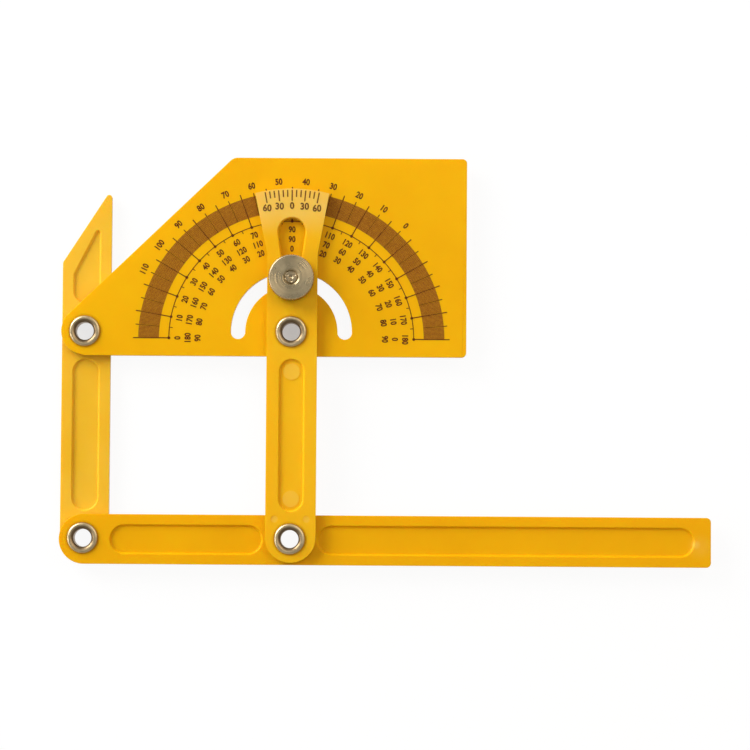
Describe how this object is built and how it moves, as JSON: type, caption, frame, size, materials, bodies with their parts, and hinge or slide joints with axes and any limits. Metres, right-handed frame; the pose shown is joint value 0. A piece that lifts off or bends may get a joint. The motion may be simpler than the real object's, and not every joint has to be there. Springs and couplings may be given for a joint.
{
  "type": "angle ruler",
  "caption": "Adjustable angle ruler: a protractor plate and flat bars hinged as a parallelogram, with a vernier pointer clamped in an arc slot by a thumb nut.",
  "frame": {"origin": "axis of the protractor pivot, at the plate's printed face", "axes": "+X right along the scale's base line and the long arm, +Y up across the protractor plate, +Z out of the printed face"},
  "size_m": [0.2485, 0.1558, 0.0164],
  "materials": {
    "yellow_plastic": "moulded, semi-gloss",
    "eyelet_brass": "rolled, bright",
    "clamp_brass": "turned, dull"
  },
  "bodies": {
    "plate": {"protractor_plate": "yellow_plastic", "pivot_eyelet": "eyelet_brass", "pivot_washer": "eyelet_brass", "plate_eyelet": "eyelet_brass", "plate_washer": "eyelet_brass"},
    "link": {"pointer_link": "yellow_plastic", "foot_eyelet": "eyelet_brass", "foot_washer": "eyelet_brass"},
    "side_arm": {"side_arm": "yellow_plastic", "corner_eyelet": "eyelet_brass", "corner_washer": "eyelet_brass"},
    "long_arm": {"long_arm": "yellow_plastic"},
    "clamp_screw": {"clamp_screw": "clamp_brass"},
    "thumb_nut": {"thumb_nut": "clamp_brass"}
  },
  "joints": [
    {"name": "link_swing", "type": "hinge", "parent": "plate", "child": "link", "pos_m": [0, 0, 0], "axis": [0, 0, 1], "range_deg": [-76, 76]},
    {"name": "side_arm_swing", "type": "hinge", "parent": "plate", "child": "side_arm", "pos_m": [-0.079, 0, 0], "axis": [0, 0, 1], "range_deg": [-76, 76]},
    {"name": "long_arm_swing", "type": "hinge", "parent": "link", "child": "long_arm", "pos_m": [0, -0.079, 0], "axis": [0, 0, 1], "range_deg": [-76, 76]},
    {"name": "nut_turn", "type": "hinge", "parent": "link", "child": "thumb_nut", "pos_m": [0, 0.0204, 0], "axis": [0, 0, 1], "range_deg": [0, 450]},
    {"name": "screw_drop", "type": "slide", "parent": "link", "child": "clamp_screw", "axis": [0, 0, -1], "range_m": [0, 0.001]}
  ],
  "couplings": [
    {"joint": "side_arm_swing", "follows": "link_swing", "ratio": 1},
    {"joint": "long_arm_swing", "follows": "link_swing", "ratio": -1},
    {"joint": "screw_drop", "follows": "nut_turn", "m_per_rad": 0.00012732}
  ]
}
